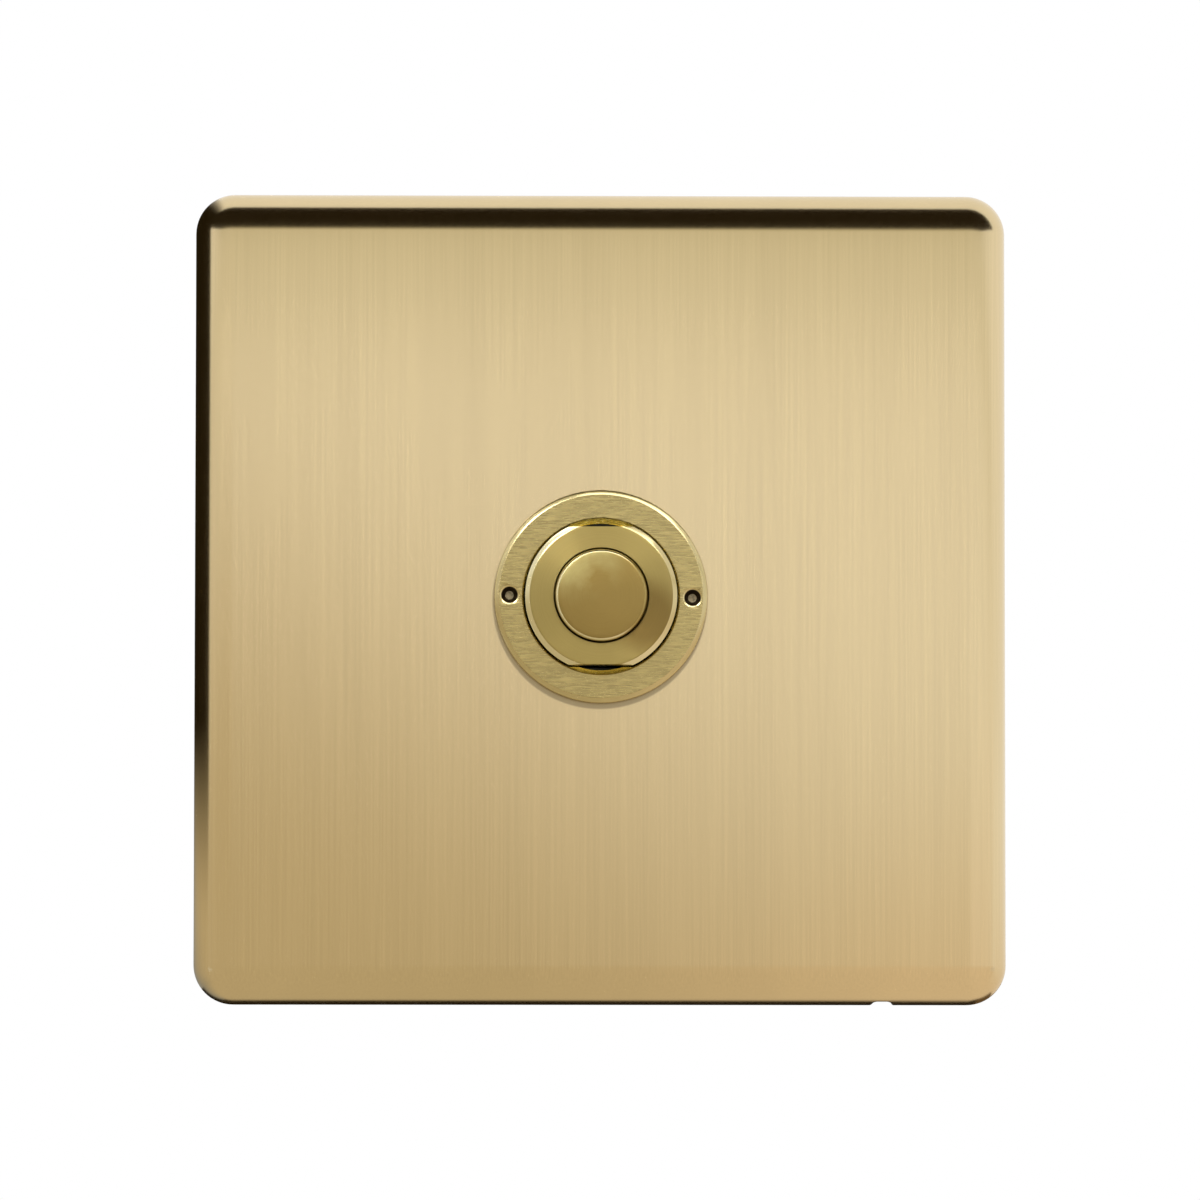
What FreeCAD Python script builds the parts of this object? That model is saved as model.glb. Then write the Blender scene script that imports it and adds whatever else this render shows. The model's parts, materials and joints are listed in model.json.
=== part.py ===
import FreeCAD, Part
import math
import os

# Push button light switch on a screwless single-gang metal plate, in millimetres.
#
# The pieces are drawn on the bench with x to the right, y up and z out of the wall, and the wall at z = 0.
# Each one is then turned so that the front of the switch faces -Y and +Z is up.

Vector = FreeCAD.Vector

# Front plate: a sheet pressing with rolled edges and a pry notch in its lower edge
PLATE_SIDE = 86.0
PLATE_DEPTH = 5.5
PLATE_SHEET = 1.0
PLATE_ROUND = 4.2
ROUND_MARGIN = 0.2
NOTCH_X = 29.8
NOTCH_WIDTH = 2.6
NOTCH_DEPTH = 3.0
NOTCH_CORNER = 0.6

# Push button: a turned cap with a stop flange and a socket for the push rod
BUTTON_DIAMETER = 9.7
BUTTON_GAP = 0.18
BUTTON_LIP = 1.2
BUTTON_FLANGE = 1.4
BUTTON_PROUD = 0.9
BUTTON_EDGE = 0.4
BUTTON_TRAVEL = 2.5
STOP_GAP = 0.05

# Threaded bush that carries the button, with two flats along its neck and a square flange
BUSH_WALL = 1.77
BUSH_FLAT_CUT = 0.75
BUSH_PROUD = 2.0
BUSH_BEVEL = 0.5
BUSH_GUIDE = 4.0
FLANGE_RIM = 1.6
FLANGE_THICK = 1.8
KEY_GAP = 0.15

# Ring nut with two blind holes for a pin spanner
RING_RIM = 3.25
RING_THICK = 1.6
RING_EDGE = 0.5
THREAD_GAP = 0.05
SPANNER_HOLE = 1.75
SPANNER_DEPTH = 1.0
SPANNER_INSET = 1.525
SPANNER_TURN = -0.85

# Yoke: a steel strap that takes the wall screws and carries the earth terminal
YOKE_THICK = 1.2
FIXING_CENTRES = 60.3
FIXING_HOLE = 4.2
EAR_LENGTH = 5.0
STRAP_WIDTH = 18.0
STRAP_CORNER = 4.0
PAD_WIDTH = 28.0
PAD_HEIGHT = 26.0
TAB_WIDTH = 10.0
TAB_REACH = 11.0
TAB_BEND = 0.8
TAB_GAP = 2.4
YOKE_GAP = 0.3

# Earth screw and its square clamp washer
EARTH_SCREW = 4.0
EARTH_HEAD = 7.4
EARTH_HEAD_HEIGHT = 2.4
EARTH_TIP = 1.2
EARTH_SCREW_FROM_END = 4.6
EARTH_WASHER = 8.6
EARTH_WASHER_THICK = 1.0

# Mounting frame: a ribbed moulding that fills the plate and clips into it
FRAME_GAP = 0.25
FRAME_WALL = 1.6
FRAME_DECK = 1.6
BOSS_WALL = 3.5
RIB_THICK = 1.4
RIB_SETBACK = 0.5
WELL_HOLE = 9.2
WELL_WALL = 1.4
CLIP_WIDTH = 8.0
CLIP_SLOT = 1.0
CLIP_SLOT_HEIGHT = 2.5
NIB_LENGTH = 6.0
NIB_SLOPE = 0.6
NIB_HEIGHT = 1.2
NIB_GAP = 0.08
GROOVE_DEPTH = 0.35

# Switch body: a cover in front that snaps on a base behind, both moulded
BODY_ABOVE = 16.5
BODY_BELOW = 21.5
BODY_WALL = 1.8
BODY_CORNER = 2.0
BODY_EDGE = 0.7
BODY_FLOOR = 2.6
COVER_WALL = 2.0
COVER_DEPTH = 7.0
POCKET_WALL = 1.6
POCKET_GAP = 0.2
SNAP_Y = -2.5
SNAP_WIDTH = 8.0
SNAP_THICK = 1.2
SNAP_HOOK = 1.4
SNAP_HEIGHT = 2.2
SNAP_BELOW_JOINT = 1.6
SNAP_GAP = 0.1

# Guide plate behind the bush, held up by two posts of the base
GUIDE_THICK = 1.6
POST_WIDTH = 6.0
POST_THICK = 3.0
POST_INSET = 0.6

# Push rod, from the button down to the contact bridge, with its end upset over the bridge
ROD_DIAMETER = 5.0
ROD_SOCKET = 2.6
ROD_FIT = 0.02
ROD_GAP = 0.15
ROD_DROP = 3.2
TAIL_DIAMETER = 3.0
TAIL_HEAD = 4.4
TAIL_HEAD_HEIGHT = 1.0

# Return spring under the button
SPRING_WIRE = 0.6
SPRING_DIAMETER = 8.6
SPRING_TURNS = 2.5
STEPS_PER_TURN = 16

# Contact bridge, the silver pads and the fixed contact strips
BRIDGE_THICK = 0.6
BRIDGE_WIDTH = 5.0
SILVER_SIDE = 3.0
SILVER_THICK = 0.7
SILVER_MARGIN = 0.3
SILVER_CLEARANCE = 0.1
STRIP_WIDTH = 4.5
STRIP_THICK = 0.8
STRIP_ABOVE = 3.2
PEDESTAL_MARGIN = 0.6

# Tunnel terminals with their clamp screws
TERMINAL_X = 9.0
BLOCK_WIDTH = 8.0
BLOCK_HEIGHT = 8.0
BLOCK_DEPTH = 7.6
WIRE_BORE = 4.0
WIRE_WALL = 0.9
WINDOW_MARGIN = 1.2
CLAMP_SCREW = 3.5
CLAMP_HEAD = 5.6
CLAMP_HEAD_HEIGHT = 1.9
CLAMP_HEAD_LIFT = 0.3
CLAMP_TIP_GAP = 0.1
CLAMP_ACCESS_GAP = 0.4
SCREW_GAP = 0.05

# Cuts run this far past the faces that they open
PAST = 1.0
TINY = 1e-4

# Diameters that follow from the button outwards
STOP_DIAMETER = BUTTON_DIAMETER + 2 * BUTTON_LIP
STOP_BORE = STOP_DIAMETER + 2 * BUTTON_GAP
BUSH_DIAMETER = STOP_BORE + 2 * BUSH_WALL
FLANGE_HALF = BUSH_DIAMETER / 2 + FLANGE_RIM
RING_DIAMETER = BUSH_DIAMETER + 2 * RING_RIM
SPANNER_CIRCLE = RING_DIAMETER - 2 * SPANNER_INSET

# Levels along z, from the front of the button to the back of the body
PLATE_BACK = PLATE_DEPTH - PLATE_SHEET
RING_FRONT = PLATE_DEPTH + RING_THICK
BUSH_FRONT = RING_FRONT + BUSH_PROUD
BUTTON_FRONT = BUSH_FRONT + BUTTON_PROUD
STOP_FACE = BUSH_FRONT - BUSH_GUIDE
BUTTON_SHOULDER = STOP_FACE - STOP_GAP
BUTTON_BACK = BUTTON_SHOULDER - BUTTON_FLANGE
COVER_INNER = -COVER_WALL
FLANGE_BACK = COVER_INNER - FLANGE_THICK
GUIDE_BACK = FLANGE_BACK - GUIDE_THICK
BRIDGE_FRONT = GUIDE_BACK - ROD_DROP
BRIDGE_BACK = BRIDGE_FRONT - BRIDGE_THICK
STRIP_FRONT = BRIDGE_BACK - 2 * SILVER_THICK - BUTTON_TRAVEL - SILVER_CLEARANCE
STRIP_BACK = STRIP_FRONT - STRIP_THICK
FLOOR_INNER = STRIP_BACK - BLOCK_DEPTH
BODY_BACK = FLOOR_INNER - BODY_FLOOR
WIRE_Z = STRIP_BACK - WIRE_WALL - WIRE_BORE / 2
SNAP_TOP = -COVER_DEPTH - SNAP_BELOW_JOINT
SNAP_BOTTOM = SNAP_TOP - SNAP_HEIGHT

# Places across the switch
EDGE_ROUND = min(PLATE_ROUND, PLATE_DEPTH - ROUND_MARGIN)
HOLLOW_ROUND = EDGE_ROUND - PLATE_SHEET
HOLLOW_HALF = PLATE_SIDE / 2 - PLATE_SHEET
HOLLOW_BEVEL = (2 - math.sqrt(2)) * HOLLOW_ROUND
FRAME_HALF = HOLLOW_HALF - FRAME_GAP
FRAME_CORNER = HOLLOW_ROUND - FRAME_GAP
NIB_TIP = HOLLOW_HALF + GROOVE_DEPTH - NIB_GAP
EAR_X = FIXING_CENTRES / 2
BODY_HALF = TERMINAL_X + BLOCK_WIDTH / 2 + POCKET_GAP + BODY_WALL
BLOCK_BOTTOM = -BODY_BELOW + BODY_WALL + POCKET_GAP
BLOCK_TOP = BLOCK_BOTTOM + BLOCK_HEIGHT
BLOCK_MIDDLE = (BLOCK_BOTTOM + BLOCK_TOP) / 2
POST_CENTRE = FLANGE_HALF - POST_INSET - POST_THICK / 2
TAB_INNER = BODY_ABOVE + TAB_GAP
TAB_OUTER = TAB_INNER + YOKE_THICK
EARTH_SCREW_Z = EARTH_SCREW_FROM_END - TAB_REACH


def disc(diameter, z0, z1, x=0.0, y=0.0):
    return Part.makeCylinder(diameter / 2, z1 - z0, Vector(x, y, z0))


def block(x0, x1, y0, y1, z0, z1):
    return Part.makeBox(x1 - x0, y1 - y0, z1 - z0, Vector(x0, y0, z0))


def square_slab(half, z0, z1):
    return block(-half, half, -half, half, z0, z1)


def upright_edges(shape):
    return [edge for edge in shape.Edges if abs(edge.Vertexes[0].Z - edge.Vertexes[1].Z) > TINY]


def edges_at(shape, z):
    return [edge for edge in shape.Edges if all(abs(point.Z - z) < TINY for point in edge.Vertexes)]


def outline_face(points):
    return Part.Face(Part.makePolygon(points + points[:1]))


def turned(profile):
    """A solid of revolution about z from (radius, z) corners."""
    corners = [Vector(radius, 0, z) for radius, z in profile]
    return outline_face(corners).revolve(Vector(0, 0, 0), Vector(0, 0, 1), 360)


def double_d(diameter, flat_cut, z0, z1):
    """A round bar with a flat cut along its top and bottom."""
    half = diameter / 2
    return disc(diameter, z0, z1).common(block(-half, half, flat_cut - half, half - flat_cut, z0, z1))


def bush_hole(z0, z1):
    return double_d(BUSH_DIAMETER + 2 * KEY_GAP, BUSH_FLAT_CUT, z0, z1)


def screw_blank(shank, length, head, head_height):
    """A screw with its head's underside at z = 0 and its shank along +z."""
    return turned([(0, -head_height), (head / 2, -head_height), (head / 2, 0), (shank / 2, 0),
                   (shank / 2, length), (0, length)])


def on_sides(shape):
    """Four copies of a shape drawn at the top side of the square, one for each side."""
    copies = []
    for side in range(4):
        copy = shape.copy()
        copy.rotate(Vector(0, 0, 0), Vector(0, 0, 1), 90 * side)
        copies.append(copy)
    return copies


def pillow():
    """The plate's outside: a square slab on the wall with one round on its front and corner edges."""
    slab = square_slab(PLATE_SIDE / 2, 0, PLATE_DEPTH)
    return slab.makeFillet(EDGE_ROUND, upright_edges(slab) + edges_at(slab, PLATE_DEPTH))


def cut_corner_slab(half, corner, z0, z1):
    slab = square_slab(half, z0, z1)
    return slab.makeChamfer(corner, upright_edges(slab))


def bevelled_slab(half, corner):
    """The plate's hollow, with bevels that keep the sheet's thickness along the rolled edges."""
    slab = cut_corner_slab(half, corner, 0, PLATE_BACK)
    return slab.makeChamfer(HOLLOW_BEVEL, edges_at(slab, PLATE_BACK))


def clip_groove():
    """A slot inside the plate's skirt for a nib of the frame."""
    half = NIB_LENGTH / 2 + NIB_GAP
    floor = HOLLOW_HALF + GROOVE_DEPTH
    return block(-half, half, HOLLOW_HALF - PAST, floor, NIB_HEIGHT - NIB_SLOPE, NIB_HEIGHT + NIB_SLOPE)


def pry_notch():
    left = NOTCH_X - NOTCH_WIDTH / 2
    right = NOTCH_X + NOTCH_WIDTH / 2
    notch = block(left, right, -PLATE_SIDE / 2 - PAST, -HOLLOW_HALF + HOLLOW_ROUND, -PAST, NOTCH_DEPTH)
    front = [edge for edge in edges_at(notch, NOTCH_DEPTH) if edge.BoundBox.XLength < TINY]
    return notch.makeFillet(min(NOTCH_CORNER, NOTCH_WIDTH / 2 - TINY), front)


def front_plate():
    hollow = bevelled_slab(HOLLOW_HALF, HOLLOW_ROUND)
    bush_way = disc(BUSH_DIAMETER + 2 * KEY_GAP, 0, PLATE_DEPTH + PAST)
    return pillow().cut([hollow, bush_way, pry_notch()] + on_sides(clip_groove()))


def ring_nut():
    bore = BUSH_DIAMETER / 2 + THREAD_GAP
    rim = RING_DIAMETER / 2
    ring = turned([(bore, PLATE_DEPTH), (rim, PLATE_DEPTH), (rim, RING_FRONT - RING_EDGE),
                   (rim - RING_EDGE, RING_FRONT), (bore, RING_FRONT)])
    for turn in (0, 180):
        hole = disc(SPANNER_HOLE, RING_FRONT - SPANNER_DEPTH, RING_FRONT + PAST, SPANNER_CIRCLE / 2)
        hole.rotate(Vector(0, 0, 0), Vector(0, 0, 1), SPANNER_TURN + turn)
        ring = ring.cut(hole)
    return ring


def bush():
    radius = BUSH_DIAMETER / 2
    neck = turned([(0, COVER_INNER), (radius, COVER_INNER), (radius, BUSH_FRONT - BUSH_BEVEL),
                   (radius - BUSH_BEVEL, BUSH_FRONT), (0, BUSH_FRONT)])
    neck = neck.common(double_d(BUSH_DIAMETER, BUSH_FLAT_CUT, COVER_INNER, BUSH_FRONT))
    flange = square_slab(FLANGE_HALF, FLANGE_BACK, COVER_INNER)
    front_bore = disc(BUTTON_DIAMETER + 2 * BUTTON_GAP, FLANGE_BACK - PAST, BUSH_FRONT + PAST)
    stop_bore = disc(STOP_BORE, FLANGE_BACK - PAST, STOP_FACE)
    return neck.fuse(flange).cut([front_bore, stop_bore]).removeSplitter()


def button():
    radius = BUTTON_DIAMETER / 2
    stop = STOP_DIAMETER / 2
    socket = ROD_DIAMETER / 2 + ROD_FIT
    return turned([(0, BUTTON_FRONT), (radius - BUTTON_EDGE, BUTTON_FRONT), (radius, BUTTON_FRONT - BUTTON_EDGE),
                   (radius, BUTTON_SHOULDER), (stop, BUTTON_SHOULDER), (stop, BUTTON_BACK), (socket, BUTTON_BACK),
                   (socket, BUTTON_BACK + ROD_SOCKET), (0, BUTTON_BACK + ROD_SOCKET)])


def push_rod():
    rod = ROD_DIAMETER / 2
    tail = TAIL_DIAMETER / 2
    upset = TAIL_HEAD / 2
    end = BRIDGE_BACK - TAIL_HEAD_HEIGHT
    return turned([(0, BUTTON_BACK + ROD_SOCKET), (rod, BUTTON_BACK + ROD_SOCKET), (rod, BRIDGE_FRONT),
                   (tail, BRIDGE_FRONT), (tail, BRIDGE_BACK), (upset, BRIDGE_BACK), (upset, end), (0, end)])


def return_spring():
    """A square-wire coil between the guide plate and the button's stop flange, lofted in short steps."""
    inner = (SPRING_DIAMETER - SPRING_WIRE) / 2
    outer = (SPRING_DIAMETER + SPRING_WIRE) / 2
    steps = round(SPRING_TURNS * STEPS_PER_TURN)
    rise = (BUTTON_BACK - FLANGE_BACK - SPRING_WIRE) / steps
    sections = []
    for step in range(steps + 1):
        z0 = FLANGE_BACK + rise * step
        z1 = z0 + SPRING_WIRE
        section = Part.makePolygon([Vector(inner, 0, z0), Vector(outer, 0, z0), Vector(outer, 0, z1),
                                    Vector(inner, 0, z1), Vector(inner, 0, z0)])
        section.rotate(Vector(0, 0, 0), Vector(0, 0, 1), 360 / STEPS_PER_TURN * step)
        sections.append(section)
    return Part.makeLoft(sections, True, True)


def guide_plate():
    hole = disc(ROD_DIAMETER + 2 * ROD_GAP, GUIDE_BACK, FLANGE_BACK)
    return square_slab(FLANGE_HALF, GUIDE_BACK, FLANGE_BACK).cut(hole)


def contact_bridge():
    half = TERMINAL_X + SILVER_SIDE / 2 + SILVER_MARGIN
    strip = block(-half, half, -BRIDGE_WIDTH / 2, BRIDGE_WIDTH / 2, BRIDGE_BACK, BRIDGE_FRONT)
    return strip.cut(square_slab(TAIL_DIAMETER / 2 + ROD_FIT, BRIDGE_BACK, BRIDGE_FRONT))


def silver_pads(z0):
    half = SILVER_SIDE / 2
    pads = [block(x - half, x + half, -half, half, z0, z0 + SILVER_THICK) for x in (-TERMINAL_X, TERMINAL_X)]
    return Part.makeCompound(pads)


def fixed_contact(side):
    x = side * TERMINAL_X
    half = STRIP_WIDTH / 2
    return block(x - half, x + half, BLOCK_BOTTOM, STRIP_ABOVE, STRIP_BACK, STRIP_FRONT)


def terminal(side):
    x = side * TERMINAL_X
    half = BLOCK_WIDTH / 2
    body = block(x - half, x + half, BLOCK_BOTTOM, BLOCK_TOP, FLOOR_INNER, STRIP_BACK)
    bore = Part.makeCylinder(WIRE_BORE / 2, BLOCK_HEIGHT, Vector(x, BLOCK_BOTTOM, WIRE_Z), Vector(0, 1, 0))
    thread = disc(CLAMP_SCREW + 2 * SCREW_GAP, FLOOR_INNER - PAST, WIRE_Z, x, BLOCK_MIDDLE)
    return body.cut([bore, thread])


def terminal_screws():
    seat = FLOOR_INNER - CLAMP_HEAD_LIFT
    length = WIRE_Z - WIRE_BORE / 2 - CLAMP_TIP_GAP - seat
    screws = []
    for x in (-TERMINAL_X, TERMINAL_X):
        screw = screw_blank(CLAMP_SCREW, length, CLAMP_HEAD, CLAMP_HEAD_HEIGHT)
        screw.translate(Vector(x, BLOCK_MIDDLE, seat))
        screws.append(screw)
    return Part.makeCompound(screws)


def earth_tab():
    """The strip that bends back from the pad, drawn as its section and pulled across its width."""
    bend_y = TAB_INNER - TAB_BEND
    diagonal = math.sqrt(0.5)

    def at(y, z):
        return Vector(-TAB_WIDTH / 2, y, z)

    def middle_of_bend(radius):
        return at(bend_y + radius * diagonal, radius * diagonal - TAB_BEND)

    inside = Part.Arc(at(bend_y, 0), middle_of_bend(TAB_BEND), at(TAB_INNER, -TAB_BEND))
    outside = Part.Arc(at(TAB_OUTER, -TAB_BEND), middle_of_bend(TAB_BEND + YOKE_THICK), at(bend_y, YOKE_THICK))
    edges = [
        Part.makeLine(at(bend_y, YOKE_THICK), at(bend_y, 0)),
        inside.toShape(),
        Part.makeLine(at(TAB_INNER, -TAB_BEND), at(TAB_INNER, -TAB_REACH)),
        Part.makeLine(at(TAB_INNER, -TAB_REACH), at(TAB_OUTER, -TAB_REACH)),
        Part.makeLine(at(TAB_OUTER, -TAB_REACH), at(TAB_OUTER, -TAB_BEND)),
        outside.toShape(),
    ]
    return Part.Face(Part.Wire(edges)).extrude(Vector(TAB_WIDTH, 0, 0))


def yoke():
    reach = EAR_X + EAR_LENGTH
    strap = block(-reach, reach, -STRAP_WIDTH / 2, STRAP_WIDTH / 2, 0, YOKE_THICK)
    strap = strap.makeFillet(STRAP_CORNER, upright_edges(strap))
    pad = block(-PAD_WIDTH / 2, PAD_WIDTH / 2, -PAD_HEIGHT / 2, PAD_HEIGHT / 2, 0, YOKE_THICK)
    tab_root = block(-TAB_WIDTH / 2, TAB_WIDTH / 2, 0, TAB_INNER - TAB_BEND, 0, YOKE_THICK)
    blank = strap.fuse([pad, tab_root, earth_tab()]).removeSplitter()
    holes = [disc(FIXING_HOLE, -PAST, YOKE_THICK + PAST, x) for x in (-EAR_X, EAR_X)]
    earth_hole = Part.makeCylinder(EARTH_SCREW / 2 + SCREW_GAP, YOKE_THICK + 2 * PAST,
                                   Vector(0, TAB_INNER - PAST, EARTH_SCREW_Z), Vector(0, 1, 0))
    return blank.cut(holes + [bush_hole(-PAST, YOKE_THICK + PAST), earth_hole])


def yoke_clearance():
    """The room that the frame's ribs leave for the yoke."""
    reach = EAR_X + EAR_LENGTH + YOKE_GAP
    strap = STRAP_WIDTH / 2 + YOKE_GAP
    pad_x = PAD_WIDTH / 2 + YOKE_GAP
    pad_y = PAD_HEIGHT / 2 + YOKE_GAP
    tab = TAB_WIDTH / 2 + YOKE_GAP
    return [block(-reach, reach, -strap, strap, -PAST, YOKE_THICK),
            block(-pad_x, pad_x, -pad_y, pad_y, -PAST, YOKE_THICK),
            block(-tab, tab, 0, TAB_OUTER + YOKE_GAP, -PAST, YOKE_THICK)]


def on_earth_tab(shape):
    """Turns a shape drawn along z so that its +z runs down into the earth tab from the washer's top."""
    shape.rotate(Vector(0, 0, 0), Vector(1, 0, 0), 90)
    shape.translate(Vector(0, TAB_OUTER + EARTH_WASHER_THICK, EARTH_SCREW_Z))
    return shape


def earth_screw():
    length = EARTH_WASHER_THICK + YOKE_THICK + EARTH_TIP
    return on_earth_tab(screw_blank(EARTH_SCREW, length, EARTH_HEAD, EARTH_HEAD_HEIGHT))


def earth_washer():
    plate = square_slab(EARTH_WASHER / 2, 0, EARTH_WASHER_THICK)
    return on_earth_tab(plate.cut(disc(EARTH_SCREW + 2 * SCREW_GAP, 0, EARTH_WASHER_THICK)))


def frame_ribs():
    half = FRAME_HALF - FRAME_WALL
    side = RIB_THICK / 2
    rib_y = STRAP_WIDTH / 2 + YOKE_GAP + side
    ribs = [block(-half, half, y - side, y + side, RIB_SETBACK, PLATE_BACK) for y in (-rib_y, rib_y)]
    reach = half * math.sqrt(2)
    for turn in (45, 135):
        rib = block(-reach, reach, -side, side, RIB_SETBACK, PLATE_BACK)
        rib.rotate(Vector(0, 0, 0), Vector(0, 0, 1), turn)
        ribs.append(rib)
    return ribs


def well_walls():
    """Square bosses round the pockets for the heads of the wall screws."""
    half = WELL_HOLE / 2 + WELL_WALL
    return [block(x - half, x + half, -half, half, YOKE_THICK, PLATE_BACK) for x in (-EAR_X, EAR_X)]


def clip_slots():
    """Cuts on both sides of each clip finger, through the frame's rim."""
    inner = FRAME_HALF - FRAME_WALL - PAST
    outer = FRAME_HALF + PAST
    slots = []
    for x in (-CLIP_WIDTH / 2 - CLIP_SLOT, CLIP_WIDTH / 2):
        slots += on_sides(block(x, x + CLIP_SLOT, inner, outer, -PAST, CLIP_SLOT_HEIGHT))
    return slots


def clip_nibs():
    """Wedge-shaped nibs on the frame's clip fingers."""
    root = FRAME_HALF - FRAME_WALL / 2
    slope = NIB_SLOPE - NIB_GAP
    section = [(NIB_TIP, NIB_HEIGHT), (FRAME_HALF, NIB_HEIGHT + slope), (root, NIB_HEIGHT + slope),
               (root, NIB_HEIGHT - slope), (FRAME_HALF, NIB_HEIGHT - slope)]
    nib = outline_face([Vector(-NIB_LENGTH / 2, y, z) for y, z in section])
    return on_sides(nib.extrude(Vector(NIB_LENGTH, 0, 0)))


def mounting_frame():
    envelope = bevelled_slab(FRAME_HALF, FRAME_CORNER)
    inside = cut_corner_slab(FRAME_HALF - FRAME_WALL, FRAME_CORNER, -PAST, PLATE_BACK - FRAME_DECK)
    boss = square_slab(BUSH_DIAMETER / 2 + BOSS_WALL, YOKE_THICK, PLATE_BACK)
    ribs = [rib.common(envelope) for rib in frame_ribs()]
    frame = envelope.cut(inside).fuse([boss] + well_walls() + ribs)
    holes = [disc(WELL_HOLE, -PAST, PLATE_BACK + PAST, x) for x in (-EAR_X, EAR_X)]
    frame = frame.cut(holes + [bush_hole(-PAST, PLATE_BACK + PAST)] + yoke_clearance() + clip_slots())
    return frame.fuse(clip_nibs()).removeSplitter()


def body_slab(inset, z0, z1):
    """A block that follows the switch body's outline, drawn in by inset."""
    half = BODY_HALF - inset
    return block(-half, half, inset - BODY_BELOW, BODY_ABOVE - inset, z0, z1)


def body_shell(z0, z1, closed_end):
    """The body's outside between two levels, with its corners and the edges of its closed end cut off."""
    slab = body_slab(0, z0, z1)
    slab = slab.makeChamfer(BODY_CORNER, upright_edges(slab))
    return slab.makeChamfer(BODY_EDGE, edges_at(slab, closed_end))


def snap_arm(side):
    """A springy arm inside the cover's wall, with a hook that rests in a window of the base."""
    outer = BODY_HALF - BODY_WALL - SNAP_GAP
    inner = outer - SNAP_THICK
    hook = SNAP_TOP - SNAP_GAP
    section = [(inner, COVER_INNER), (outer, COVER_INNER), (outer, hook), (outer + SNAP_HOOK, hook),
               (outer, SNAP_BOTTOM), (inner, SNAP_BOTTOM)]
    face = outline_face([Vector(side * x, SNAP_Y - SNAP_WIDTH / 2, z) for x, z in section])
    return face.extrude(Vector(0, SNAP_WIDTH, 0))


def snap_window(side):
    half = SNAP_WIDTH / 2 + SNAP_GAP
    ends = sorted([side * (BODY_HALF - BODY_WALL - PAST), side * (BODY_HALF + PAST)])
    return block(ends[0], ends[1], SNAP_Y - half, SNAP_Y + half, SNAP_BOTTOM, SNAP_TOP)


def switch_cover():
    shell = body_shell(-COVER_DEPTH, 0, 0)
    shell = shell.cut(body_slab(BODY_WALL, -COVER_DEPTH - PAST, COVER_INNER))
    pocket = FLANGE_HALF + KEY_GAP
    seat = square_slab(pocket + POCKET_WALL, GUIDE_BACK, COVER_INNER)
    seat = seat.cut(square_slab(pocket, GUIDE_BACK, COVER_INNER))
    cover = shell.fuse([seat, snap_arm(-1), snap_arm(1)])
    return cover.cut(bush_hole(COVER_INNER - PAST, PAST)).removeSplitter()


def contact_supports(side):
    """The pedestal under a fixed contact and the wall between its terminal and the middle."""
    x = side * TERMINAL_X
    half = STRIP_WIDTH / 2 + PEDESTAL_MARGIN
    pedestal = block(x - half, x + half, BLOCK_TOP + POCKET_GAP, STRIP_ABOVE + PEDESTAL_MARGIN,
                     FLOOR_INNER, STRIP_BACK)
    inner = side * (TERMINAL_X - BLOCK_WIDTH / 2 - POCKET_GAP)
    ends = sorted([inner, inner - side * POCKET_WALL])
    wall = block(ends[0], ends[1], -BODY_BELOW + BODY_WALL / 2, BLOCK_TOP, FLOOR_INNER, STRIP_BACK)
    return [pedestal, wall]


def guide_posts():
    half = POST_THICK / 2
    return [block(-POST_WIDTH / 2, POST_WIDTH / 2, y - half, y + half, FLOOR_INNER, GUIDE_BACK)
            for y in (-POST_CENTRE, POST_CENTRE)]


def wire_window(side):
    x = side * TERMINAL_X
    half = WIRE_BORE / 2 + WINDOW_MARGIN
    bottom = -BODY_BELOW
    return block(x - half, x + half, bottom - PAST, bottom + BODY_WALL + POCKET_GAP, WIRE_Z - half, WIRE_Z + half)


def clamp_access(side):
    return disc(CLAMP_HEAD + 2 * CLAMP_ACCESS_GAP, BODY_BACK - PAST, FLOOR_INNER, side * TERMINAL_X, BLOCK_MIDDLE)


def switch_base():
    shell = body_shell(BODY_BACK, -COVER_DEPTH, BODY_BACK)
    shell = shell.cut(body_slab(BODY_WALL, FLOOR_INNER, -COVER_DEPTH + PAST))
    base = shell.fuse(contact_supports(-1) + contact_supports(1) + guide_posts())
    cuts = [opening(side) for opening in (snap_window, wire_window, clamp_access) for side in (-1, 1)]
    return base.cut(cuts).removeSplitter()


PIECES = {
    "front_plate": front_plate,
    "ring_nut": ring_nut,
    "bush": bush,
    "button": button,
    "push_rod": push_rod,
    "return_spring": return_spring,
    "guide_plate": guide_plate,
    "mounting_frame": mounting_frame,
    "yoke": yoke,
    "earth_screw": earth_screw,
    "earth_washer": earth_washer,
    "switch_cover": switch_cover,
    "switch_base": switch_base,
    "contact_bridge": contact_bridge,
    "moving_pads": lambda: silver_pads(BRIDGE_BACK - SILVER_THICK),
    "fixed_pads": lambda: silver_pads(STRIP_FRONT),
    "fixed_contact_left": lambda: fixed_contact(-1),
    "fixed_contact_right": lambda: fixed_contact(1),
    "terminal_left": lambda: terminal(-1),
    "terminal_right": lambda: terminal(1),
    "terminal_screws": terminal_screws,
}


def main():
    os.makedirs("parts", exist_ok=True)
    for name, make in PIECES.items():
        shape = make()
        shape.rotate(Vector(0, 0, 0), Vector(1, 0, 0), 90)
        shape.exportStep("parts/" + name + ".step")
        print(name, "solids", len(shape.Solids), "volume", round(shape.Volume, 2), "valid", shape.isValid())


main()
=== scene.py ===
import json
import math

import bmesh
import bpy
from bpy.props import FloatProperty, FloatVectorProperty, IntProperty, PointerProperty
from mathutils import Matrix, Quaternion, Vector


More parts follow.
